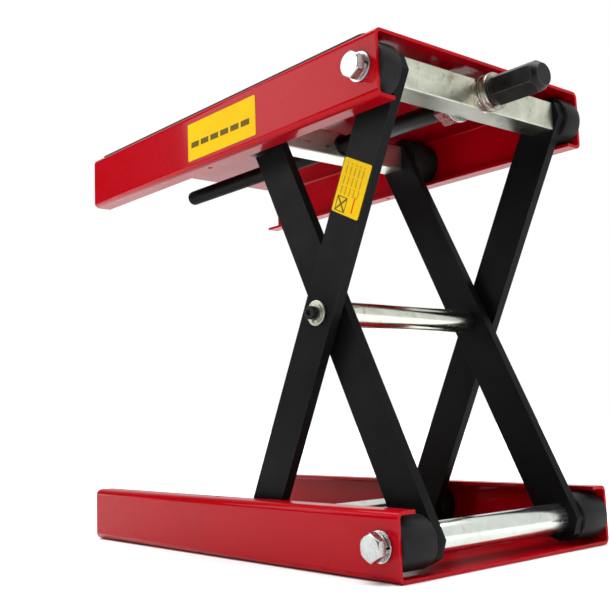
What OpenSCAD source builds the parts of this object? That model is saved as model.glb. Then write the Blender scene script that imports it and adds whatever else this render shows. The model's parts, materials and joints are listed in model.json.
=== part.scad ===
// Screw-driven scissor lift: base channel, two arm pairs, platform channel and a
// hex-driven lead screw. Lengths in millimetres, +X towards the hex drive, +Z up,
// origin on the ground under the middle of the base.

/* [Frames] */
// Length of the base and platform channels
frame_l = 394; // [390:1:480]
// Width over the side walls
frame_w = 232; // [224:1:300]
// Height of the base channel over its lips
channel_h = 45; // [44:1:60]
// Height of the platform channel over its lips
platform_h = 48; // [44:1:60]
// Thickness of the folded sheet
sheet_t = 2.5; // [1.5:0.1:3]
// Outside radius of the sheet bends
bend_r = 5; // [3.5:0.1:7]
// Width of a lip from the outside of its wall
lip_w = 16.5; // [12:0.1:19]
// Diameter of the hanging hole in each lip
lip_hole_d = 4.5; // [3:0.1:6]
// Distance of the lip holes from the middle of the frame, away from the drive
lip_hole_x = 14; // [0:1:60]

/* [Scissor arms] */
// Height of the platform plate as drawn
raised_h = 363.5; // [250:0.5:374]
// Length of an arm between its end pivots
arm_l = 353; // [340:1:357]
// Width of an arm's flat bar
arm_w = 32; // [26:1:34]
// Thickness of an arm's flat bar
arm_t = 8; // [6:0.5:10]
// Distance of the fixed pivots from the end of the frames
pivot_inset = 15.5; // [14:0.5:26]
// Distance from the middle plane to the outside of the outer arms
outer_arm_y = 94.5; // [90:0.5:97]
// Gap between an outer arm and an inner arm
arm_gap = 5; // [3:0.5:8]
// Length of the bar past its fixed pivot
fixed_end = 16; // [12:0.5:16]
// Corner chamfer at the fixed end
fixed_chamfer = 9; // [6:0.5:10]
// Length of the bar past its sliding pivot
slide_end = 10; // [8:0.5:10]

/* [Cross members] */
// Side of the square trunnion bar at the drive end of the platform
trunnion_side = 23; // [20:0.5:30]
// Side of the square nut bar that travels along the screw
nut_bar_side = 22; // [21:0.5:30]
// Edge chamfer of both square bars
bar_chamfer = 0.8; // [0.5:0.1:3]
// Outside diameter of the base pivot tube
pivot_tube_d = 22; // [16:0.5:30]
// Outside diameter of the tube between the sliding ends of the outer arms
slide_tube_d = 22; // [16:0.5:30]
// Outside diameter of the tube at the centre pivot
centre_tube_d = 19; // [14:0.5:24]

/* [Pivots and rollers] */
// Diameter of the pivot bolts and of the centre axle
bolt_d = 10; // [8:0.5:12]
// Width across the flats of the bolt heads
bolt_head_af = 17; // [14:0.5:19]
// Height of the bolt heads
bolt_head_h = 6.4; // [5:0.1:8]
// Outside diameter of the flat washers
washer_d = 21; // [18:0.5:26]
// Thickness of the flat washers
washer_t = 2; // [1:0.1:3]
// Outside diameter of the spacer bushes at the base pivots
spacer_d = 36; // [24:0.5:38]
// Diameter of the rollers in the base
roller_d = 38; // [30:0.5:38]
// Edge chamfer of the spacer bushes and rollers
bush_chamfer = 1; // [0.8:0.1:2]
// Diameter of the roller pins
roller_pin_d = 12; // [10:0.5:14]
// Outside diameter of the washers on the centre axle
centre_washer_d = 19; // [16:0.5:24]
// Length of the centre axle past its washers
axle_tail = 7; // [4:0.5:9]

/* [Lead screw] */
// Outside diameter of the screw
screw_d = 15; // [12:0.5:16]
// Length of the screw past the end of the platform
screw_overhang = 4; // [0:1:30]
// Width across the flats of the hex drive
hex_af = 21; // [17:0.5:24]
// Length of the hex drive
hex_l = 42; // [36:1:60]
// Outside diameter of the thrust bearing
bearing_d = 28; // [28:0.5:36]
// Overall thickness of the thrust bearing
bearing_t = 12; // [11:0.5:14]
// Number of balls in the thrust bearing
ball_count = 12; // [8:1:13]
// Width across the flats of the collar nut behind the trunnion bar
collar_af = 24; // [20:0.5:27]
// Thickness of the collar nut
collar_t = 13; // [10:0.5:16]

/* [Mat and labels] */
// Thickness of the rubber mat
mat_t = 3; // [2:0.5:8]
// Distance of the mat from the side edges of the plate
mat_side_inset = 6; // [5:1:20]
// Distance of the mat from the ends of the plate
mat_end_inset = 10; // [4:1:30]
// Distance of the middle of the mat from the middle of the plate, away from the drive
mat_shift = 6; // [0:1:9]
// Length of the label on the platform wall
wall_label_l = 94; // [40:1:120]
// Height of the label on the platform wall
wall_label_h = 32; // [20:1:32]
// Length of the label on the outer arm
arm_label_l = 40; // [20:1:80]
// Distance of the label on the outer arm from the arm's edges
arm_label_edge = 1.25; // [1:0.25:6]

/* [Clearances] */
// Gap between faces that move past each other
side_gap = 0.3; // [0.2:0.05:0.5]
// Radial clearance of a turning fit
turn_fit = 0.08; // [0.02:0.01:0.1]
// Radial clearance of a fixed fit
fixed_fit = 0.02; // [0.01:0.01:0.05]
// Radial clearance of a bolt in a plain hole
bolt_clear = 0.25; // [0.1:0.05:0.5]

/* [Hidden] */

$fn = 64;
eps = 0.01;                                   // overshoot of a cutting tool
far = 1000;                                   // length of a cut right through

pivot_z = channel_h / 2;                      // pivots in the base
top_z = raised_h - platform_h / 2;            // pivots and screw in the platform
lift_span = top_z - pivot_z;
arm_angle = asin(lift_span / arm_l);          // slope of an arm from the ground
fixed_x = frame_l / 2 - pivot_inset;          // fixed pivots
slide_x = fixed_x - arm_l * cos(arm_angle);   // sliding pivots
centre_x = (fixed_x + slide_x) / 2;           // centre pivot
centre_z = (pivot_z + top_z) / 2;

wall_y = frame_w / 2;                         // outside of a side wall
wall_in_y = wall_y - sheet_t;                 // inside of a side wall
outer_in_y = outer_arm_y - arm_t;             // inside of an outer arm
inner_arm_y = outer_in_y - arm_gap;           // outside of an inner arm
inner_in_y = inner_arm_y - arm_t;             // inside of an inner arm

bolt_r = bolt_d / 2;
roller_pin_r = roller_pin_d / 2;
screw_r = screw_d / 2;
spring_washer_t = 2.2;
spring_washer_d = bolt_d + 8;
spring_washer_gap = 1.6;                      // gap between the ends of the spring washer
bolt_grip = 26;                               // thread length inside a cross member
pin_grip = 22;                                // pin length inside a cross member
hole_spare = 2;                               // depth of a blind hole past its bolt or pin
ring_t = 1.2;                                 // thickness of a retaining ring
ring_rim = 3;                                 // radial width of a retaining ring
ring_groove = 0.5;                            // depth of its groove
ring_mouth = 1;                               // overshoot of a cut round a pin or ring
deeper = platform_h - channel_h;              // extra diameter of the bushes and rollers in the platform
roller_recess = 4;                            // depth of the recess in a roller's outer face

bearing_x = fixed_x + trunnion_side / 2;      // face of the trunnion bar towards the hex
hex_x = bearing_x + bearing_t;                // start of the hex drive's flange
flange_t = 4;                                 // thickness of that flange
hex_tip = 6;                                  // length of the conical tip of the hex
hex_socket = 30;                              // screw length inside the hex drive
screw_end_x = -(frame_l / 2 + screw_overhang);
collar_washer_t = 3;
collar_washer_r = collar_af / 2 + 2;
collar_washer_x = fixed_x - trunnion_side / 2 - side_gap - collar_washer_t;
collar_x = collar_washer_x - collar_t;
collar_pin_d = 4;
ball_r = 2;
ball_circle_r = (screw_d + bearing_d) / 4 + 0.5;
race_gap = 3;                                 // space between the two races
race_t = (bearing_t - race_gap) / 2;
race_clear = 0.5;                             // radial gap between a race and the screw
cage_t = 1.6;
cage_clear = 1.2;                             // radial gap between the cage and the screw
cage_rim = 0.3;                               // cage inside the outside of the races
label_t = 0.3;
label_r = 1.5;                                // corner radius of the labels

red = [0.75, 0.03, 0.08];
black = [0.08, 0.09, 0.10];
rubber_black = [0.05, 0.05, 0.05];
zinc = [0.78, 0.80, 0.76];
oxide = [0.13, 0.13, 0.13];
yellow = [0.95, 0.83, 0.0];

// ---- shared shapes ----

module along_x() rotate([90, 0, 90]) children();
module along_y() rotate([-90, 0, 0]) children();
module on_both_sides() {
    children();
    mirror([0, 1, 0]) children();
}

module rounded_rect(w, h, r) {
    square([w - 2 * r, h], center = true);
    square([w, h - 2 * r], center = true);
    for (x = [-1, 1], y = [-1, 1])
        translate([x * (w / 2 - r), y * (h / 2 - r)]) circle(r);
}

// ring or disc round the Y axis, from y0 to y1
module disc_y(r, y0, y1) translate([0, y0, 0]) along_y() cylinder(r = r, h = y1 - y0);
module ring_y(r, bore, y0, y1) {
    difference() {
        disc_y(r, y0, y1);
        disc_y(bore, y0 - eps, y1 + eps);
    }
}
module disc_x(r, x0, x1) translate([x0, 0, 0]) rotate([0, 90, 0]) cylinder(r = r, h = x1 - x0);
module ring_x(r, bore, x0, x1) {
    difference() {
        disc_x(r, x0, x1);
        disc_x(bore, x0 - eps, x1 + eps);
    }
}
module through_y(r) disc_y(r, -far, far);

// disc round the Y axis with chamfered edges
module bush_y(r, y0, y1) {
    c = bush_chamfer;
    outline = [[0, y0], [r - c, y0], [r, y0 + c], [r, y1 - c], [r - c, y1], [0, y1]];
    along_y() rotate_extrude() polygon(outline);
}

// hexagonal prism along X with corners at top and bottom
module hex_x(af, x0, x1) {
    translate([x0, 0, 0]) rotate([0, 90, 0]) cylinder(r = af / sqrt(3), h = x1 - x0, $fn = 6);
}

// ---- frames ----

module channel_section(height) {
    difference() {
        rounded_rect(frame_w, height, bend_r);
        rounded_rect(frame_w - 2 * sheet_t, height - 2 * sheet_t, bend_r - sheet_t);
        translate([-(wall_y - lip_w), 0]) square([frame_w - 2 * lip_w, height]);
    }
}

// channel with its plate at z = 0 and its open side up, bolt holes at half height
module channel(height) {
    difference() {
        translate([-frame_l / 2, 0, height / 2]) along_x() linear_extrude(frame_l) channel_section(height);
        translate([fixed_x, 0, height / 2]) through_y(bolt_r + bolt_clear);
        for (side = [-1, 1])
            translate([-lip_hole_x, side * (wall_y - (lip_w + bend_r) / 2), height / 2])
                cylinder(d = lip_hole_d, h = far);
    }
}

module base_frame() color(red) channel(channel_h);

module platform_frame() {
    color(red) translate([0, 0, raised_h]) mirror([0, 0, 1]) channel(platform_h);
}

module rubber_mat() {
    mat_l = frame_l - 2 * mat_end_inset;
    mat_w = frame_w - 2 * mat_side_inset;
    groove_pitch = 9;
    groove_w = 3;
    groove_depth = 1;
    margin = 10;                              // plain border round the grooves
    groove_count = floor((mat_w / 2 - margin) / groove_pitch);
    color(rubber_black) translate([-mat_shift, 0, raised_h]) difference() {
        linear_extrude(mat_t) rounded_rect(mat_l, mat_w, 6);
        for (i = [-groove_count:groove_count])
            translate([-mat_l / 2 + margin, i * groove_pitch - groove_w / 2, mat_t - groove_depth])
                cube([mat_l - 2 * margin, groove_w, mat_t]);
    }
}

// ---- arms ----

// flat bar in the XZ plane: fixed pivot at the origin, sliding pivot at +X
module arm_bar(centre_r, fixed_r, slide_r) {
    c = fixed_chamfer;
    e = 2;                                    // small chamfer of the sliding end
    w = arm_w / 2;
    x0 = -fixed_end;
    x1 = arm_l + slide_end;
    outline = [
        [x0, -w + c], [x0 + c, -w], [x1 - e, -w], [x1, -w + e],
        [x1, w - e], [x1 - e, w], [x0 + c, w], [x0, w - c]
    ];
    rotate([90, 0, 0]) difference() {
        linear_extrude(arm_t) polygon(outline);
        translate([0, 0, -eps]) {
            cylinder(r = fixed_r, h = arm_t + 2 * eps);
            translate([arm_l / 2, 0, 0]) cylinder(r = centre_r, h = arm_t + 2 * eps);
            translate([arm_l, 0, 0]) cylinder(r = slide_r, h = arm_t + 2 * eps);
        }
    }
}

module outer_arm(inside_y) {
    color(black) translate([fixed_x, inside_y, top_z]) rotate([0, 180 - arm_angle, 0])
        arm_bar(bolt_r + turn_fit, bolt_r + turn_fit, roller_pin_r + fixed_fit);
}
module inner_arm(inside_y) {
    color(black) translate([fixed_x, inside_y, pivot_z]) rotate([0, 180 + arm_angle, 0])
        arm_bar(bolt_r + fixed_fit, bolt_r + turn_fit, roller_pin_r + turn_fit);
}
module outer_arm_near() outer_arm(-outer_in_y);
module outer_arm_far() outer_arm(outer_arm_y);
module inner_arm_near() inner_arm(-inner_in_y);
module inner_arm_far() inner_arm(inner_arm_y);

// ---- cross members ----

// square bar along Y with chamfered edges and a blind hole in each end
module square_bar(side, half_l, hole_r, hole_l) {
    s = side / 2;
    c = bar_chamfer;
    outline = [
        [-s, -s + c], [-s + c, -s], [s - c, -s], [s, -s + c],
        [s, s - c], [s - c, s], [-s + c, s], [-s, s - c]
    ];
    difference() {
        translate([0, half_l, 0]) rotate([90, 0, 0]) linear_extrude(2 * half_l) polygon(outline);
        on_both_sides() disc_y(hole_r, half_l - hole_l, half_l + eps);
    }
}

module trunnion_bar() {
    color(zinc) translate([fixed_x, 0, top_z]) difference() {
        square_bar(trunnion_side, outer_in_y - side_gap, bolt_r + fixed_fit, bolt_grip + hole_spare);
        disc_x(screw_r + turn_fit, -far, far);
    }
}

module nut_bar() {
    color(zinc) translate([slide_x, 0, top_z]) difference() {
        square_bar(nut_bar_side, inner_in_y - side_gap, bolt_r + fixed_fit, pin_grip + hole_spare);
        disc_x(drive_nut_r + fixed_fit, -far, far);
    }
}

drive_nut_r = screw_r + 2;                    // outside of the drive nut's sleeve
drive_nut_proud = 1;                          // length past each face of the nut bar

module drive_nut() {
    end_x = nut_bar_side / 2 + drive_nut_proud;
    color(oxide) translate([slide_x, 0, top_z]) ring_x(drive_nut_r, screw_r + turn_fit, -end_x, end_x);
}

module tube_y(d, bore_r, half_l) color(zinc) ring_y(d / 2, bore_r, -half_l, half_l);

module base_pivot_tube() {
    translate([fixed_x, 0, pivot_z]) tube_y(pivot_tube_d, bolt_r + fixed_fit, inner_in_y - side_gap);
}
module slide_tube() {
    translate([slide_x, 0, pivot_z]) tube_y(slide_tube_d, roller_pin_r + fixed_fit, outer_in_y);
}
module centre_tube() {
    translate([centre_x, 0, centre_z]) tube_y(centre_tube_d, bolt_r + fixed_fit, inner_in_y);
}

// ---- centre pivot ----

centre_washer_y = outer_arm_y + side_gap;
centre_ring_y = centre_washer_y + washer_t;

module centre_axle() {
    end_y = centre_ring_y + axle_tail;
    recess = 2;
    color(oxide) translate([centre_x, 0, centre_z]) difference() {
        disc_y(bolt_r, -end_y, end_y);
        on_both_sides() {
            disc_y(bolt_r / 2, end_y - recess, end_y + eps);
            ring_y(bolt_r + ring_mouth, bolt_r - ring_groove, centre_ring_y, centre_ring_y + ring_t);
        }
    }
}
module centre_washers() {
    color(zinc) translate([centre_x, 0, centre_z]) on_both_sides()
        ring_y(centre_washer_d / 2, bolt_r + turn_fit, centre_washer_y, centre_ring_y);
}

// open retaining ring in its groove
module retaining_ring(shaft_r, y0) {
    groove_r = shaft_r - ring_groove;
    difference() {
        ring_y(groove_r + ring_rim, groove_r + fixed_fit, y0 + fixed_fit, y0 + ring_t - fixed_fit);
        translate([-shaft_r / 2, y0 - ring_mouth, -far]) cube([shaft_r, ring_t + 2 * ring_mouth, far]);
    }
}
module centre_rings() {
    color(oxide) translate([centre_x, 0, centre_z]) on_both_sides() retaining_ring(bolt_r, centre_ring_y);
}
module centre_spacers() {
    color(zinc) translate([centre_x, 0, centre_z]) on_both_sides()
        ring_y(centre_washer_d / 2, bolt_r + fixed_fit, inner_arm_y, outer_in_y - side_gap);
}

// ---- fixed pivots ----

// hex bolt along +Y side, under the head at y = head_y, tip at y = tip_y
module pivot_bolt(tip_y) {
    head_y = wall_y + washer_t + spring_washer_t;
    top_y = head_y + bolt_head_h;
    disc_y(bolt_r, tip_y, head_y);
    intersection() {
        translate([0, head_y, 0]) along_y() rotate(30)
            cylinder(r = bolt_head_af / sqrt(3), h = bolt_head_h, $fn = 6);
        translate([0, top_y, 0]) rotate([90, 0, 0])
            cylinder(r1 = bolt_head_af / 2 - 0.3, r2 = bolt_head_af / 2 + far * 2, h = far);
    }
}
module spring_washer() {
    y0 = wall_y + washer_t;
    y1 = y0 + spring_washer_t;
    difference() {
        ring_y(spring_washer_d / 2, bolt_r + bolt_clear, y0, y1);
        translate([0, y0 - eps, -spring_washer_gap / 2]) cube([far, y1 - y0 + 2 * eps, spring_washer_gap]);
    }
}
module flat_washer() ring_y(washer_d / 2, bolt_r + bolt_clear, wall_y, wall_y + washer_t);
module spacer(d, inner_y) {
    difference() {
        bush_y(d / 2, inner_y + side_gap, wall_in_y);
        through_y(bolt_r + bolt_clear);
    }
}

module at_base_pivot() translate([fixed_x, 0, pivot_z]) on_both_sides() children();
module at_platform_pivot() translate([fixed_x, 0, top_z]) on_both_sides() children();

module base_bolts() color(zinc) at_base_pivot() pivot_bolt(inner_in_y - bolt_grip);
module base_spring_washers() color(zinc) at_base_pivot() spring_washer();
module base_washers() color(zinc) at_base_pivot() flat_washer();
module base_spacers() color(rubber_black) at_base_pivot() spacer(spacer_d, inner_arm_y);
module platform_bolts() color(zinc) at_platform_pivot() pivot_bolt(outer_in_y - bolt_grip);
module platform_spring_washers() color(zinc) at_platform_pivot() spring_washer();
module platform_washers() color(zinc) at_platform_pivot() flat_washer();
module platform_spacers() color(rubber_black) at_platform_pivot() spacer(spacer_d + deeper, outer_arm_y);

// ---- sliding pivots ----

pin_end_y = wall_in_y - roller_recess / 2;    // end of a roller pin
pin_ring_y = wall_in_y - roller_recess;       // groove of its retaining ring

// pin through an arm and a roller, with a thinner tail inside the cross member
module roller_pin(seat_y, tail_r) {
    disc_y(tail_r, seat_y - pin_grip, seat_y);
    difference() {
        disc_y(roller_pin_r, seat_y, pin_end_y);
        ring_y(roller_pin_r + ring_mouth, roller_pin_r - ring_groove, pin_ring_y, pin_ring_y + ring_t);
    }
}
module slide_pins() {
    color(zinc) translate([slide_x, 0, pivot_z]) on_both_sides() roller_pin(outer_in_y, roller_pin_r);
}
module nut_bar_pins() {
    color(zinc) translate([slide_x, 0, top_z]) on_both_sides() roller_pin(inner_in_y - side_gap, bolt_r);
}
module slide_pin_rings() {
    color(oxide) translate([slide_x, 0, pivot_z]) on_both_sides() retaining_ring(roller_pin_r, pin_ring_y);
}
module nut_bar_pin_rings() {
    color(oxide) translate([slide_x, 0, top_z]) on_both_sides() retaining_ring(roller_pin_r, pin_ring_y);
}

// roller on the +Y side, with a recess for the retaining ring
module roller(d, inner_y, z) {
    y0 = inner_y + 2 * side_gap;
    y1 = wall_in_y - 2 * side_gap;
    color(rubber_black) translate([slide_x, 0, z]) difference() {
        bush_y(d / 2, y0, y1);
        disc_y(roller_pin_r + turn_fit, y0 - eps, y1 + eps);
        disc_y(roller_pin_r + ring_rim + 1, pin_ring_y - side_gap, y1 + eps);
    }
}
module base_roller_far() roller(roller_d, outer_arm_y, pivot_z);
module base_roller_near() mirror([0, 1, 0]) roller(roller_d, outer_arm_y, pivot_z);
module platform_roller_far() roller(roller_d + deeper, inner_arm_y, top_z);
module platform_roller_near() mirror([0, 1, 0]) roller(roller_d + deeper, inner_arm_y, top_z);

// ---- lead screw ----

module at_screw() translate([0, 0, top_z]) children();

module lead_screw() {
    color(oxide) at_screw() difference() {
        union() {
            disc_x(screw_r, screw_end_x + screw_r, hex_x + hex_socket);
            translate([screw_end_x + screw_r, 0, 0]) sphere(screw_r);
        }
        translate([collar_x + collar_t / 2, 0, 0]) cylinder(d = collar_pin_d, h = far, center = true);
    }
}

module hex_drive() {
    tip_x = hex_x + hex_l;
    corner_r = hex_af / sqrt(3);
    color(oxide) at_screw() difference() {
        union() {
            disc_x(hex_af / 2, hex_x, hex_x + flange_t);
            intersection() {
                hex_x(hex_af, hex_x + flange_t - 1, tip_x);
                union() {
                    disc_x(corner_r + 1, hex_x, tip_x - hex_tip);
                    translate([tip_x - hex_tip, 0, 0]) rotate([0, 90, 0])
                        cylinder(r1 = corner_r, r2 = corner_r - 4, h = hex_tip);
                }
            }
        }
        disc_x(screw_r + fixed_fit, hex_x - eps, hex_x + hex_socket);
    }
}

// half section of a race as a square ring with a ball groove in one face
module race(x0, groove_x) {
    difference() {
        ring_x(bearing_d / 2, screw_r + race_clear, x0, x0 + race_t);
        translate([groove_x, 0, 0]) rotate([0, 90, 0]) rotate_extrude()
            translate([ball_circle_r, 0]) circle(ball_r + turn_fit);
    }
}
ball_x = bearing_x + bearing_t / 2;
module bearing_race_fixed() color(zinc) at_screw() race(bearing_x, ball_x);
module bearing_race_turning() color(zinc) at_screw() race(hex_x - race_t, ball_x);
module at_balls() {
    for (i = [0:ball_count - 1])
        rotate([i * 360 / ball_count, 0, 0]) translate([ball_x, 0, ball_circle_r]) children();
}
module bearing_cage() {
    color(zinc) at_screw() difference() {
        ring_x(bearing_d / 2 - cage_rim, screw_r + cage_clear, ball_x - cage_t / 2, ball_x + cage_t / 2);
        at_balls() rotate([0, 90, 0]) cylinder(r = ball_r + turn_fit, h = cage_t + 1, center = true);
    }
}
module bearing_balls() color(zinc) at_screw() at_balls() sphere(ball_r);

module collar_washer() {
    end_x = collar_washer_x + collar_washer_t;
    color(zinc) at_screw() ring_x(collar_washer_r, screw_r + turn_fit, collar_washer_x, end_x);
}
module collar_nut() {
    color(zinc) at_screw() difference() {
        hex_x(collar_af, collar_x, collar_x + collar_t);
        disc_x(screw_r + fixed_fit, collar_x - eps, collar_x + collar_t + eps);
        translate([collar_x + collar_t / 2, 0, 0]) cylinder(d = collar_pin_d, h = far, center = true);
    }
}
module collar_pin() {
    color(oxide) at_screw() translate([collar_x + collar_t / 2, 0, 0])
        cylinder(r = collar_pin_d / 2 - fixed_fit, h = collar_af, center = true);
}

// ---- labels ----

module label(l, w) linear_extrude(label_t) rounded_rect(l, w, label_r);

wall_label_x = 17;                            // middle of the wall label
wall_label_drop = 9;                          // its top edge below the plate
arm_label_s = 82;                             // middle of the arm label from the top pivot

module wall_label() {
    color(yellow)
        translate([wall_label_x, -wall_y, raised_h - wall_label_drop - wall_label_h / 2])
        rotate([90, 0, 0]) label(wall_label_l, wall_label_h);
}
module arm_label() {
    color(yellow) translate([fixed_x, -outer_arm_y, top_z]) rotate([0, 180 - arm_angle, 0])
        rotate([90, 0, 0]) translate([arm_label_s, 0, 0]) label(arm_label_l, arm_w - 2 * arm_label_edge);
}

base_frame();
platform_frame();
rubber_mat();
outer_arm_near();
outer_arm_far();
inner_arm_near();
inner_arm_far();
trunnion_bar();
nut_bar();
drive_nut();
lead_screw();
hex_drive();
bearing_race_fixed();
bearing_race_turning();
bearing_cage();
bearing_balls();
collar_washer();
collar_nut();
collar_pin();
centre_tube();
centre_axle();
centre_washers();
centre_rings();
centre_spacers();
base_pivot_tube();
base_bolts();
base_spring_washers();
base_washers();
base_spacers();
platform_bolts();
platform_spring_washers();
platform_washers();
platform_spacers();
slide_tube();
slide_pins();
slide_pin_rings();
nut_bar_pins();
nut_bar_pin_rings();
base_roller_near();
base_roller_far();
platform_roller_near();
platform_roller_far();
wall_label();
arm_label();
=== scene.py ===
import json
import math

import bpy
import bmesh
from mathutils import Matrix, Vector


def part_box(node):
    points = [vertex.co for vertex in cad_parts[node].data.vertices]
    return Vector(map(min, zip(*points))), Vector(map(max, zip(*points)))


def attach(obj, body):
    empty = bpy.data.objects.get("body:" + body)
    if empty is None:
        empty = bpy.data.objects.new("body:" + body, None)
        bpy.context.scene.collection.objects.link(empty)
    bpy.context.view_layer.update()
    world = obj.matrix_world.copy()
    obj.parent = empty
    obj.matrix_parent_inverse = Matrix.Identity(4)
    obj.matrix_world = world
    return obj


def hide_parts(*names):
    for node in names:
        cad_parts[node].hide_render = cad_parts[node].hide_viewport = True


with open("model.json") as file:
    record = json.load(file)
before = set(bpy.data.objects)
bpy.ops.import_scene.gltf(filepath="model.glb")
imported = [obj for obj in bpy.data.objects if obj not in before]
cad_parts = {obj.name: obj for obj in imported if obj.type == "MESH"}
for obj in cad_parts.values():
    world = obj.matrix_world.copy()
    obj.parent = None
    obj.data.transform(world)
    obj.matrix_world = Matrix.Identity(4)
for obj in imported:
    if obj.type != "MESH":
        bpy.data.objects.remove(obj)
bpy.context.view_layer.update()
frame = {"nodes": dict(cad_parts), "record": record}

MM = 0.001
nodes = frame["nodes"]
record = frame["record"]
scene = bpy.context.scene
scene.view_settings.view_transform = "Standard"
scene.view_settings.look = "None"

joint_pos = {j["name"]: Vector(j["pos_m"]) for j in record["behaviour"]["joints"]}
top_pivot = joint_pos["platform_pivot"]
centre_pivot = joint_pos["centre_pivot"]


# ---------------------------------------------------------------- camera, fitted to the photo

CAM_POS = Vector((0.62205, -0.54650, 0.10584))
CAM_AZIMUTH = math.radians(-49.645)
CAM_ELEVATION = math.radians(7.273)
CAM_ROLL = math.radians(-2.003)
FOCAL_PX = 943.45
IMAGE_W = 610
SENSOR = 36.0
CLIP_NEAR, CLIP_FAR = 0.01, 50


def make_camera():
    ce, se = math.cos(CAM_ELEVATION), math.sin(CAM_ELEVATION)
    ahead = Vector((math.sin(CAM_AZIMUTH) * ce, math.cos(CAM_AZIMUTH) * ce, se))
    right = Vector((math.cos(CAM_AZIMUTH), -math.sin(CAM_AZIMUTH), 0))
    up = right.cross(ahead)
    c, s = math.cos(CAM_ROLL), math.sin(CAM_ROLL)
    r, u = c * right + s * up, c * up - s * right
    data = bpy.data.cameras.new("camera")
    data.sensor_width = SENSOR
    data.lens = FOCAL_PX / IMAGE_W * SENSOR
    data.clip_start = CLIP_NEAR
    data.clip_end = CLIP_FAR
    cam = bpy.data.objects.new("camera", data)
    scene.collection.objects.link(cam)
    m = Matrix((r, u, -ahead)).transposed().to_4x4()
    m.translation = CAM_POS
    cam.matrix_world = m
    scene.camera = cam


make_camera()


# ---------------------------------------------------------------- studio

SOFTBOX_POS = Vector((-0.75, -1.0, 0.85))
SOFTBOX_AIM = Vector((0.1, 0, 0.34))        # near wall of the platform, which mirrors the softbox
SOFTBOX_SIZE = (0.75, 0.9)
SOFTBOX_POWER = 7.0
SUN_STRENGTH = 4.1                          # lights the floor to just over white
SUN_SPREAD = math.radians(55)
BRIGHT_SIDE = Vector((0.35, 0.85, 0.35)).normalized()
DIM, BRIGHT = 0.03, 1.1                     # world strength in front of the object and behind it
DIM_BELOW, BRIGHT_ABOVE = -0.35, 0.45       # cosines from the bright side between which it rises
FLOOR_HALF = 6                              # half the floor's side, in metres
FLOOR_GAP = 0.4 * MM                        # keeps the floor clear of the base's underside


def make_softbox():
    data = bpy.data.lights.new("left_soft", "AREA")
    data.shape = "RECTANGLE"
    data.size, data.size_y = SOFTBOX_SIZE
    data.energy = SOFTBOX_POWER
    lamp = bpy.data.objects.new("left_soft", data)
    scene.collection.objects.link(lamp)
    lamp.location = SOFTBOX_POS
    lamp.rotation_euler = (SOFTBOX_AIM - SOFTBOX_POS).to_track_quat("-Z", "Y").to_euler()
    lamp.visible_camera = False


def make_sun():
    data = bpy.data.lights.new("overhead", "SUN")
    data.energy = SUN_STRENGTH
    data.angle = SUN_SPREAD
    scene.collection.objects.link(bpy.data.objects.new("overhead", data))


def make_world():
    """White to the camera; for light and reflections bright behind the object and dim in front."""
    world = bpy.data.worlds.new("studio")
    scene.world = world
    world.use_nodes = True
    nt = world.node_tree
    nt.nodes.clear()
    out = nt.nodes.new("ShaderNodeOutputWorld")
    mix = nt.nodes.new("ShaderNodeMixShader")
    path = nt.nodes.new("ShaderNodeLightPath")
    seen = nt.nodes.new("ShaderNodeBackground")
    seen.inputs["Color"].default_value = (1, 1, 1, 1)
    seen.inputs["Strength"].default_value = 1.0
    lit = nt.nodes.new("ShaderNodeBackground")
    coord = nt.nodes.new("ShaderNodeTexCoord")
    dot = nt.nodes.new("ShaderNodeVectorMath")
    dot.operation = "DOT_PRODUCT"
    dot.inputs[1].default_value = BRIGHT_SIDE
    ramp = nt.nodes.new("ShaderNodeMapRange")
    ramp.interpolation_type = "SMOOTHSTEP"
    ramp.inputs["From Min"].default_value = DIM_BELOW
    ramp.inputs["From Max"].default_value = BRIGHT_ABOVE
    ramp.inputs["To Min"].default_value = DIM
    ramp.inputs["To Max"].default_value = BRIGHT
    nt.links.new(coord.outputs["Generated"], dot.inputs[0])
    nt.links.new(dot.outputs["Value"], ramp.inputs["Value"])
    nt.links.new(ramp.outputs["Result"], lit.inputs["Strength"])
    nt.links.new(path.outputs["Is Camera Ray"], mix.inputs["Fac"])
    nt.links.new(lit.outputs[0], mix.inputs[1])
    nt.links.new(seen.outputs[0], mix.inputs[2])
    nt.links.new(mix.outputs[0], out.inputs["Surface"])


def make_floor():
    bm = bmesh.new()
    bmesh.ops.create_grid(bm, x_segments=1, y_segments=1, size=FLOOR_HALF)
    mesh = bpy.data.meshes.new("floor")
    bm.to_mesh(mesh)
    bm.free()
    floor = bpy.data.objects.new("floor", mesh)
    scene.collection.objects.link(floor)
    floor.location.z = -FLOOR_GAP
    floor.data.materials.append(paper)


# ---------------------------------------------------------------- materials


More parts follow.
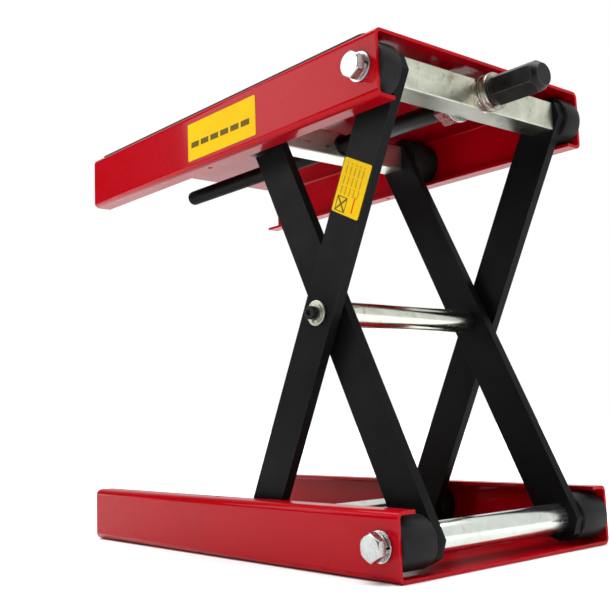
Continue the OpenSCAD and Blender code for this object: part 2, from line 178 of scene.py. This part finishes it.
class Shader:
    """A material under construction, with short calls for the nodes used here."""

    def __init__(self, name, **values):
        self.mat = bpy.data.materials.new(name)
        self.mat.use_nodes = True
        self.nt = self.mat.node_tree
        self.bsdf = self.nt.nodes["Principled BSDF"]
        for key, value in values.items():
            self.set(key, value)
        self.coord = self.nt.nodes.new("ShaderNodeTexCoord")

    def set(self, key, value):
        self.bsdf.inputs[key.replace("_", " ")].default_value = value

    def node(self, kind, **props):
        n = self.nt.nodes.new("ShaderNode" + kind)
        for key, value in props.items():
            setattr(n, key, value)
        return n

    def link(self, a, b):
        self.nt.links.new(a, b)

    def stretch(self, scale):
        """Object coordinates in metres, scaled by one number per axis."""
        m = self.node("Mapping")
        m.inputs["Scale"].default_value = scale
        self.link(self.coord.outputs["Object"], m.inputs["Vector"])
        return m.outputs["Vector"]

    def noise(self, scale, detail, roughness=0.55, vector=None, distortion=0.0):
        n = self.node("TexNoise")
        n.inputs["Scale"].default_value = scale
        n.inputs["Detail"].default_value = detail
        n.inputs["Roughness"].default_value = roughness
        n.inputs["Distortion"].default_value = distortion
        self.link(vector or self.coord.outputs["Object"], n.inputs["Vector"])
        return n.outputs["Fac"]

    def remap(self, value, *ends):
        """The value, stretched from the first two ends to the last two and clamped."""
        n = self.node("MapRange")
        n.clamp = True
        for key, end in zip(("From Min", "From Max", "To Min", "To Max"), ends):
            n.inputs[key].default_value = end
        self.link(value, n.inputs["Value"])
        return n.outputs["Result"]

    def math(self, op, a, b=None):
        n = self.node("Math", operation=op)
        for i, v in enumerate((a, b)):
            if v is None:
                continue
            if isinstance(v, (int, float)):
                n.inputs[i].default_value = v
            else:
                self.link(v, n.inputs[i])
        return n.outputs[0]

    def mix(self, fac, a, b):
        """Colour a at factor 0, colour b at factor 1."""
        n = self.node("Mix", data_type="RGBA")
        for i, v in ((0, fac), (6, a), (7, b)):
            if isinstance(v, (int, float)):
                n.inputs[i].default_value = v
            elif isinstance(v, tuple):
                n.inputs[i].default_value = (*v, 1)
            else:
                self.link(v, n.inputs[i])
        return n.outputs[2]

    def colour(self, socket):
        self.link(socket, self.bsdf.inputs["Base Color"])

    def rough(self, socket):
        self.link(socket, self.bsdf.inputs["Roughness"])

    def bump(self, height, distance, strength):
        """Relief, added to any relief that is already there; the distance is in metres."""
        n = self.node("Bump")
        n.inputs["Distance"].default_value = distance
        n.inputs["Strength"].default_value = strength
        if self.bsdf.inputs["Normal"].is_linked:
            self.link(self.bsdf.inputs["Normal"].links[0].from_socket, n.inputs["Normal"])
        self.link(height, n.inputs["Height"])
        self.link(n.outputs["Normal"], self.bsdf.inputs["Normal"])

    def edge(self, radius, low, high):
        """1 on convex edges within the radius, 0 on flats, from how far a rounded normal leans."""
        bevel = self.node("Bevel", samples=6)
        bevel.inputs["Radius"].default_value = radius
        geo = self.node("NewGeometry")
        dot = self.node("VectorMath", operation="DOT_PRODUCT")
        self.link(bevel.outputs["Normal"], dot.inputs[0])
        self.link(geo.outputs["Normal"], dot.inputs[1])
        return self.remap(dot.outputs["Value"], high, low, 0, 1)

    def under(self):
        """1 on faces that look down, 0 on the rest."""
        facing = self.node("SeparateXYZ")
        self.link(self.coord.outputs["Normal"], facing.inputs[0])
        return self.remap(facing.outputs["Z"], -0.9, -0.5, 1, 0)


def wear_and_highlight_edge(s, radius, strength):
    """Patchy mask of the convex edges, lightened partly as rubbed wear and partly as painted highlight."""
    patchy = s.remap(s.noise(260, 5, 0.7), 0.35, 0.65, 0.15, 1)
    return s.math("MULTIPLY", s.math("MULTIPLY", s.edge(radius, 0.86, 0.99), patchy), strength)


def paper_material():
    s = Shader("floor_paper", Roughness=0.9)
    cloud = s.noise(1.5, 3)
    s.colour(s.mix(cloud, (0.88, 0.88, 0.88), (0.92, 0.92, 0.92)))
    s.bump(s.noise(900, 2), 0.2 * MM, 0.2)
    return s.mat


def red_paint_material():
    """Glossy red powder coat with a clear coat that brightens at a glancing angle, and painted shade that
    makes its undersides a deeper red.
    """
    s = Shader("red_powder_coat", Specular_IOR_Level=0.03, Coat_Weight=0.42, Coat_IOR=1.3,
               Coat_Roughness=0.06)
    cloud = s.noise(7, 4)
    fleck = s.noise(2200, 2)
    base = s.mix(s.remap(cloud, 0.35, 0.65, 0, 1), (0.375, 0.0, 0.004), (0.41, 0.0, 0.007))
    base = s.mix(s.remap(fleck, 0.62, 0.75, 0, 0.25), base, (0.36, 0.0, 0.01))
    # painted shade: faces that look down get a darker red
    s.colour(s.mix(s.under(), base, (0.24, 0.0, 0.003)))
    s.rough(s.remap(s.noise(35, 5), 0.3, 0.7, 0.26, 0.36))
    s.bump(s.noise(420, 1, 0.4), 0.1 * MM, 0.35)
    return s.mat


def black_paint_material():
    """Satin black paint with scuffs, and edges lightened partly as rubbed wear and partly as painted
    highlight.
    """
    s = Shader("black_satin_paint", Specular_IOR_Level=0.06)
    cloud = s.noise(14, 5)
    scuff = s.noise(40, 6, 0.75)
    base = s.mix(s.remap(cloud, 0.35, 0.65, 0, 1), (0.004, 0.0044, 0.005), (0.0075, 0.0078, 0.008))
    base = s.mix(s.remap(scuff, 0.64, 0.74, 0, 0.3), base, (0.026, 0.025, 0.023))
    # edges lighter: partly rubbed wear, partly painted highlight
    s.colour(s.mix(wear_and_highlight_edge(s, 0.5 * MM, 0.6), base, (0.11, 0.10, 0.095)))
    s.rough(s.remap(s.noise(60, 5), 0.3, 0.7, 0.34, 0.48))
    s.bump(s.noise(650, 2), 0.08 * MM, 0.5)
    s.bump(s.noise(60, 2), 0.4 * MM, 0.25)
    return s.mat


BROWNING = (0.62, 0.55, 0.36)               # how a stain tints the darker zinc


def zinc_material(name, tint, dark, roughness, grain, stains, underside_shade=1.0):
    """Zinc-plated steel with passivation clouds, stains and a drawn grain; its underside factor, when less
    than 1, dims its undersides as painted shade.
    """
    s = Shader(name, Metallic=1.0)
    cloud = s.noise(38, 6, 0.62, distortion=0.6)
    stain = s.noise(120, 5, 0.7)
    lines = s.noise(1, 4, 0.6, s.stretch(grain))
    base = s.mix(s.remap(cloud, 0.35, 0.7, 0, 1), tint, dark)
    brown = tuple(c * k for c, k in zip(dark, BROWNING))
    base = s.mix(s.remap(stain, 0.57, 0.72, 0, stains), base, brown)
    # painted shade: faces that look down get dimmer copies of the zinc colours
    if underside_shade < 1:
        shaded_dark = tuple(underside_shade * c for c in dark)
        shaded_tint = tuple(underside_shade * c for c in tint)
        base = s.mix(s.under(), base, s.mix(lines, shaded_dark, shaded_tint))
    s.colour(base)
    s.rough(s.math("ADD", s.remap(cloud, 0.3, 0.7, *roughness), s.remap(lines, 0.3, 0.7, -0.04, 0.06)))
    s.bump(lines, 0.05 * MM, 0.4)
    s.bump(s.noise(300, 3), 0.06 * MM, 0.3)
    return s.mat


EDGE_WEAR_AND_HIGHLIGHT = (0.30, 0.29, 0.27)


def oxide_material(name, edge_radius, dark, light):
    """Oiled black oxide, lighter grey along its edges, partly as wear to bare steel and partly as painted
    highlight.
    """
    s = Shader(name, Metallic=0.5, Specular_IOR_Level=0.2)
    cloud = s.noise(90, 5)
    base = s.mix(s.remap(cloud, 0.35, 0.7, 0, 1), dark, light)
    # edges lighter grey: partly wear to bare steel, partly painted highlight
    s.colour(s.mix(wear_and_highlight_edge(s, edge_radius, 0.85), base, EDGE_WEAR_AND_HIGHLIGHT))
    s.rough(s.remap(cloud, 0.3, 0.7, 0.36, 0.5))
    s.bump(s.noise(700, 3), 0.06 * MM, 0.4)
    return s.mat


def bearing_material():
    s = Shader("bearing_steel", Metallic=1.0)
    cloud = s.noise(160, 4)
    s.colour(s.mix(s.remap(cloud, 0.35, 0.7, 0, 1), (0.50, 0.47, 0.41), (0.30, 0.28, 0.24)))
    s.rough(s.remap(cloud, 0.3, 0.7, 0.24, 0.36))
    return s.mat


def bush_material():
    """Turned black plastic with faint rings round its axis, and pale edges that are partly rubbed wear and
    partly painted highlight.
    """
    s = Shader("bush_nylon", Specular_IOR_Level=0.09)
    cloud = s.noise(60, 5)
    rings = s.noise(1, 3, 0.5, s.stretch((30, 900, 30)))
    base = s.mix(s.remap(cloud, 0.35, 0.7, 0, 1), (0.009, 0.009, 0.0095), (0.016, 0.0155, 0.015))
    base = s.mix(s.remap(rings, 0.6, 0.75, 0, 0.3), base, (0.04, 0.04, 0.04))
    # edges pale: partly rubbed wear, partly painted highlight
    s.colour(s.mix(wear_and_highlight_edge(s, 0.8 * MM, 0.7), base, (0.15, 0.145, 0.135)))
    s.rough(s.remap(cloud, 0.3, 0.7, 0.36, 0.52))
    s.bump(rings, 0.06 * MM, 0.4)
    return s.mat


def rubber_material():
    s = Shader("mat_rubber", Specular_IOR_Level=0.3)
    cloud = s.noise(50, 5)
    s.colour(s.mix(cloud, (0.016, 0.013, 0.012), (0.03, 0.026, 0.024)))
    s.rough(s.remap(cloud, 0.3, 0.7, 0.65, 0.85))
    s.bump(s.noise(1200, 2), 0.1 * MM, 0.5)
    return s.mat


YELLOW = (0.79, 0.50, 0.0)
INK = (0.02, 0.018, 0.015)
RED_INK = (0.62, 0.05, 0.0)


def label_base(s):
    """Sets the film's gloss and relief and gives its mottled yellow."""
    s.set("Specular IOR Level", 0.05)
    s.rough(s.remap(s.noise(80, 4), 0.3, 0.7, 0.3, 0.42))
    s.bump(s.noise(45, 2), 0.3 * MM, 0.3)
    return s.mix(s.remap(s.noise(30, 4), 0.35, 0.65, 0, 1), YELLOW, (0.75, 0.465, 0.0))


def along(s, origin, axis):
    """Distance of a point from the origin along an axis, in metres."""
    sub = s.node("VectorMath", operation="SUBTRACT")
    s.link(s.coord.outputs["Object"], sub.inputs[0])
    sub.inputs[1].default_value = origin
    dot = s.node("VectorMath", operation="DOT_PRODUCT")
    s.link(sub.outputs["Vector"], dot.inputs[0])
    dot.inputs[1].default_value = axis
    return dot.outputs["Value"]


def within(s, value, middle, half):
    """1 up to half a width from the middle."""
    return s.math("LESS_THAN", s.math("ABSOLUTE", s.math("SUBTRACT", value, middle)), half)


def both(s, a, b):
    """1 where both masks are 1."""
    return s.math("MULTIPLY", a, b)


def stripes(s, value, pitch, share):
    """1 on a share of every pitch."""
    return s.math("LESS_THAN", s.math("FRACT", s.math("DIVIDE", value, pitch)), share)


def rectangle(s, u, v, middle, half):
    """1 inside a rectangle."""
    return both(s, within(s, u, middle[0], half[0]), within(s, v, middle[1], half[1]))


def label_middle(node):
    lo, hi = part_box(node)
    return (Vector(lo) + Vector(hi)) / 2


BAR_ROW_MIDDLE = (0, -3 * MM)
BAR_ROW_HALF = (42 * MM, 2.4 * MM)
BAR_PITCH = 14 * MM
BAR_SHARE = 0.8


def wall_label_material():
    """Plain film with one row of blank bars where print would be."""
    s = Shader("wall_label_film")
    middle = label_middle("wall_label")
    u = along(s, middle, (1, 0, 0))
    v = along(s, middle, (0, 0, 1))
    row = rectangle(s, u, v, BAR_ROW_MIDDLE, BAR_ROW_HALF)
    bars = both(s, row, stripes(s, u, BAR_PITCH, BAR_SHARE))
    s.colour(s.mix(s.math("MULTIPLY", bars, 0.85), label_base(s), INK))
    return s.mat


# places on the arm label: u down the arm, v across it, from the label's middle
RULES_MIDDLE = (-5 * MM, 0)
RULES_HALF = (12 * MM, 11.5 * MM)
RULE_PITCH, RULE_SHARE = 4.6 * MM, 0.3
DASH_PITCH, DASH_SHARE = 7.3 * MM, 0.85
BOX_MIDDLE = (13.2 * MM, 6.4 * MM)
BOX_HALF = 5.6 * MM
BOX_LINE = 0.8 * MM
CROSS_LINE = 1.1 * MM
RED_RULE_MIDDLE = (11 * MM, -6.5 * MM)
RED_RULE_HALF = (6 * MM, 0.7 * MM)


def arm_label_material():
    """Plain film with thin broken rules along the arm, a crossed box and a red rule."""
    s = Shader("arm_label_film")
    middle = label_middle("arm_label")
    down = (centre_pivot - top_pivot).normalized()
    u = along(s, middle, down)
    v = along(s, middle, Vector((0, 1, 0)).cross(down))
    rules = both(s, rectangle(s, u, v, RULES_MIDDLE, RULES_HALF), stripes(s, v, RULE_PITCH, RULE_SHARE))
    rules = both(s, rules, stripes(s, u, DASH_PITCH, DASH_SHARE))
    outer = rectangle(s, u, v, BOX_MIDDLE, (BOX_HALF, BOX_HALF))
    inner = rectangle(s, u, v, BOX_MIDDLE, (BOX_HALF - BOX_LINE, BOX_HALF - BOX_LINE))
    box = s.math("SUBTRACT", outer, inner)
    du = s.math("ABSOLUTE", s.math("SUBTRACT", u, BOX_MIDDLE[0]))
    dv = s.math("ABSOLUTE", s.math("SUBTRACT", v, BOX_MIDDLE[1]))
    on_diagonal = s.math("LESS_THAN", s.math("ABSOLUTE", s.math("SUBTRACT", du, dv)), CROSS_LINE)
    sign = s.math("MAXIMUM", box, both(s, on_diagonal, outer))
    ink = s.math("MAXIMUM", s.math("MULTIPLY", rules, 0.45), s.math("MULTIPLY", sign, 0.85))
    red_rule = rectangle(s, u, v, RED_RULE_MIDDLE, RED_RULE_HALF)
    s.colour(s.mix(red_rule, s.mix(ink, label_base(s), INK), RED_INK))
    return s.mat


paper = paper_material()
red_paint = red_paint_material()
black_paint = black_paint_material()
zinc_bar = zinc_material("zinc_bar", (0.72, 0.74, 0.62), (0.42, 0.43, 0.34), roughness=(0.26, 0.42),
                         grain=(300, 14, 300), stains=0.8, underside_shade=0.42)
zinc_nut = zinc_material("zinc_nut_bar", (0.74, 0.76, 0.70), (0.56, 0.58, 0.50), roughness=(0.26, 0.42),
                         grain=(300, 14, 300), stains=0.3)
zinc_tube = zinc_material("zinc_tube", (0.69, 0.71, 0.63), (0.53, 0.55, 0.47), roughness=(0.14, 0.26),
                          grain=(420, 12, 420), stains=0.6)
zinc_pivot = zinc_material("zinc_pivot_tube", (0.76, 0.81, 0.76), (0.64, 0.69, 0.63), roughness=(0.14, 0.26),
                           grain=(520, 8, 520), stains=0.4)
zinc_bright = zinc_material("zinc_fastener", (0.50, 0.52, 0.51), (0.33, 0.345, 0.34), roughness=(0.2, 0.36),
                            grain=(300, 300, 300), stains=0.2)
oxide = oxide_material("black_oxide", 0.7 * MM, (0.008, 0.008, 0.0085), (0.020, 0.0195, 0.019))
screw_oxide = oxide_material("screw_oxide", 0.4 * MM, (0.0, 0.0, 0.0), (0.006, 0.006, 0.006))
bearing_steel = bearing_material()
bush_black = bush_material()
mat_rubber = rubber_material()
wall_label_film = wall_label_material()
arm_label_film = arm_label_material()

make_world()
make_floor()
make_softbox()
make_sun()


# ---------------------------------------------------------------- CAD nodes: materials and rounded edges

# material and edge radius in mm of every node; 0 leaves the mesh as it is
FINISH = {
    "base_frame": (red_paint, 0.45),
    "platform_frame": (red_paint, 0.45),
    "rubber_mat": (mat_rubber, 0.5),
    "outer_arm_near": (black_paint, 0.5),
    "outer_arm_far": (black_paint, 0.5),
    "inner_arm_near": (black_paint, 0.5),
    "inner_arm_far": (black_paint, 0.5),
    "trunnion_bar": (zinc_bar, 0.25),
    "nut_bar": (zinc_nut, 0.25),
    "drive_nut": (oxide, 0.3),
    "lead_screw": (oxide, 0),
    "hex_drive": (oxide, 0.35),
    "bearing_race_fixed": (bearing_steel, 0.4),
    "bearing_race_turning": (bearing_steel, 0.4),
    "bearing_cage": (bearing_steel, 0),
    "bearing_balls": (bearing_steel, 0),
    "collar_washer": (zinc_bright, 0.3),
    "collar_nut": (zinc_bright, 0.5),
    "collar_pin": (oxide, 0.3),
    "centre_tube": (zinc_tube, 0.3),
    "centre_axle": (oxide, 0.4),
    "centre_washers": (zinc_bar, 0.3),
    "centre_rings": (zinc_bar, 0.1),
    "centre_spacers": (zinc_bright, 0.3),
    "base_pivot_tube": (zinc_pivot, 0.3),
    "base_bolts": (zinc_bright, 0.3),
    "base_spring_washers": (zinc_bright, 0.2),
    "base_washers": (zinc_bright, 0.3),
    "base_spacers": (bush_black, 0.3),
    "platform_bolts": (zinc_bright, 0.3),
    "platform_spring_washers": (zinc_bright, 0.2),
    "platform_washers": (zinc_bright, 0.3),
    "platform_spacers": (bush_black, 0.3),
    "slide_tube": (zinc_tube, 0.3),
    "slide_pins": (zinc_tube, 0.4),
    "slide_pin_rings": (oxide, 0.1),
    "nut_bar_pins": (zinc_tube, 0.4),
    "nut_bar_pin_rings": (oxide, 0.1),
    "base_roller_near": (bush_black, 0.3),
    "base_roller_far": (bush_black, 0.3),
    "platform_roller_near": (bush_black, 0.3),
    "platform_roller_far": (bush_black, 0.3),
    "wall_label": (wall_label_film, 0),
    "arm_label": (arm_label_film, 0),
}


WELD_GAP = 0.001 * MM
FLAT_ANGLE = math.radians(0.5)
SHARP_ANGLE = math.radians(40)


def round_edges(obj, width):
    """Joins the triangles of each flat first, because a bevel on thin triangles leaves streaks."""
    weld = obj.modifiers.new("weld", "WELD")
    weld.merge_threshold = WELD_GAP
    flat = obj.modifiers.new("flat", "DECIMATE")
    flat.decimate_type = "DISSOLVE"
    flat.angle_limit = FLAT_ANGLE
    bevel = obj.modifiers.new("bevel", "BEVEL")
    bevel.width = width
    bevel.segments = 2
    bevel.limit_method = "ANGLE"
    bevel.angle_limit = SHARP_ANGLE
    bevel.harden_normals = True


for name, (finish, radius) in FINISH.items():
    obj = nodes[name]
    obj.data.materials.clear()
    obj.data.materials.append(finish)
    if radius:
        round_edges(obj, radius * MM)


# ---------------------------------------------------------------- threaded lead screw

PITCH = 2 * MM
THREAD_DEPTH = 0.9 * MM
NOSE = 6 * MM                               # length of the rounded free end
THREAD_SIDES = 24
THREAD_STEPS = 5                            # points from one groove to the next
SHAFT_SIDES = 48
SHAFT_CHAMFER = 0.8 * MM
PLAIN_PAST_CENTRE = 20 * MM                 # how far past the centre axle the plain bar reaches
OVERLAP = 2 * MM                            # thread inside the plain bar
SKIN = 0.02 * MM                            # how far the screw stays inside its CAD box: round it,
FREE_END_GAP = 0.05 * MM                    # at its free end
HEX_END_GAP = 0.1 * MM                      # and at the hex
CREST_ANGLE = math.radians(50)              # edges sharper than this stay sharp


def thread_radius(x, step, start, end, radius):
    """Radius of the thread at a place along it: step 0 is a groove and half-way the crest."""
    groove = 2 * abs(step / THREAD_STEPS - 0.5)
    fade = min(1, max(0, (end - x) / (2 * PITCH)))
    r = radius - THREAD_DEPTH * fade * groove
    if x < start + NOSE:
        round_end = math.sqrt(max(0, NOSE ** 2 - (start + NOSE - x) ** 2)) * radius / NOSE
        r = min(r, round_end + 0.001 * radius)
    return r


def thread_mesh(bm, start, end, radius):
    """Closed thread along +X: each row is one turn of the helix, and each end is a fan of triangles."""
    count = int((end - start) / PITCH * THREAD_STEPS)
    rows = []
    for k in range(count):
        row = []
        for j in range(THREAD_SIDES):
            x = start + PITCH * (k / THREAD_STEPS + j / THREAD_SIDES)
            r = thread_radius(x, k % THREAD_STEPS, start, end, radius)
            a = 2 * math.pi * j / THREAD_SIDES
            row.append(bm.verts.new((x, r * math.cos(a), r * math.sin(a))))
        rows.append(row)
    for a, b in zip(rows, rows[1:]):
        for j in range(THREAD_SIDES - 1):
            bm.faces.new((a[j], b[j], b[j + 1], a[j + 1]))
    for k in range(count - 1 - THREAD_STEPS):
        bm.faces.new((rows[k][-1], rows[k + 1][-1], rows[k + 1 + THREAD_STEPS][0], rows[k + THREAD_STEPS][0]))
    near = rows[0] + [rows[k][0] for k in range(THREAD_STEPS, 0, -1)]
    far = [rows[k][-1] for k in range(count - 1 - THREAD_STEPS, count - 1)] + rows[-1][::-1]
    for ring, x in ((near, start), (far, end + PITCH)):
        tip = bm.verts.new((x, 0, 0))
        for a, b in zip(ring, ring[1:] + ring[:1]):
            bm.faces.new((a, b, tip))


def shaft_mesh(bm, x0, x1, radius):
    """Plain round bar along +X with chamfered ends."""
    c = SHAFT_CHAMFER
    rings = []
    for x, r in ((x0, radius - c), (x0 + c, radius), (x1 - c, radius), (x1, radius - c)):
        angles = [2 * math.pi * j / SHAFT_SIDES for j in range(SHAFT_SIDES)]
        rings.append([bm.verts.new((x, r * math.cos(a), r * math.sin(a))) for a in angles])
    for a, b in zip(rings, rings[1:]):
        for j in range(SHAFT_SIDES):
            n = (j + 1) % SHAFT_SIDES
            bm.faces.new((a[j], a[n], b[n], b[j]))
    bm.faces.new(rings[0][::-1])
    bm.faces.new(rings[-1])


def make_screw():
    """The CAD's plain screw with its thread: threaded towards the free end, plain towards the hex."""
    lo, hi = (Vector(v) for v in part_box("lead_screw"))
    radius = (hi.z - lo.z) / 2 - SKIN
    axis = Vector((0, 0, (hi.z + lo.z) / 2))
    plain_from = centre_pivot.x - PLAIN_PAST_CENTRE
    bm = bmesh.new()
    thread_mesh(bm, lo.x + FREE_END_GAP, plain_from + OVERLAP, radius)
    shaft_mesh(bm, plain_from, hi.x - HEX_END_GAP, radius)
    bmesh.ops.recalc_face_normals(bm, faces=bm.faces)
    mesh = bpy.data.meshes.new("threaded_screw")
    bm.to_mesh(mesh)
    bm.free()
    mesh.transform(Matrix.Translation(axis))
    mesh.materials.append(screw_oxide)
    for face in mesh.polygons:
        face.use_smooth = True
    mesh.set_sharp_from_angle(angle=CREST_ANGLE)
    screw = bpy.data.objects.new("threaded_screw", mesh)
    scene.collection.objects.link(screw)
    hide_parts("lead_screw")
    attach(screw, "screw")


make_screw()
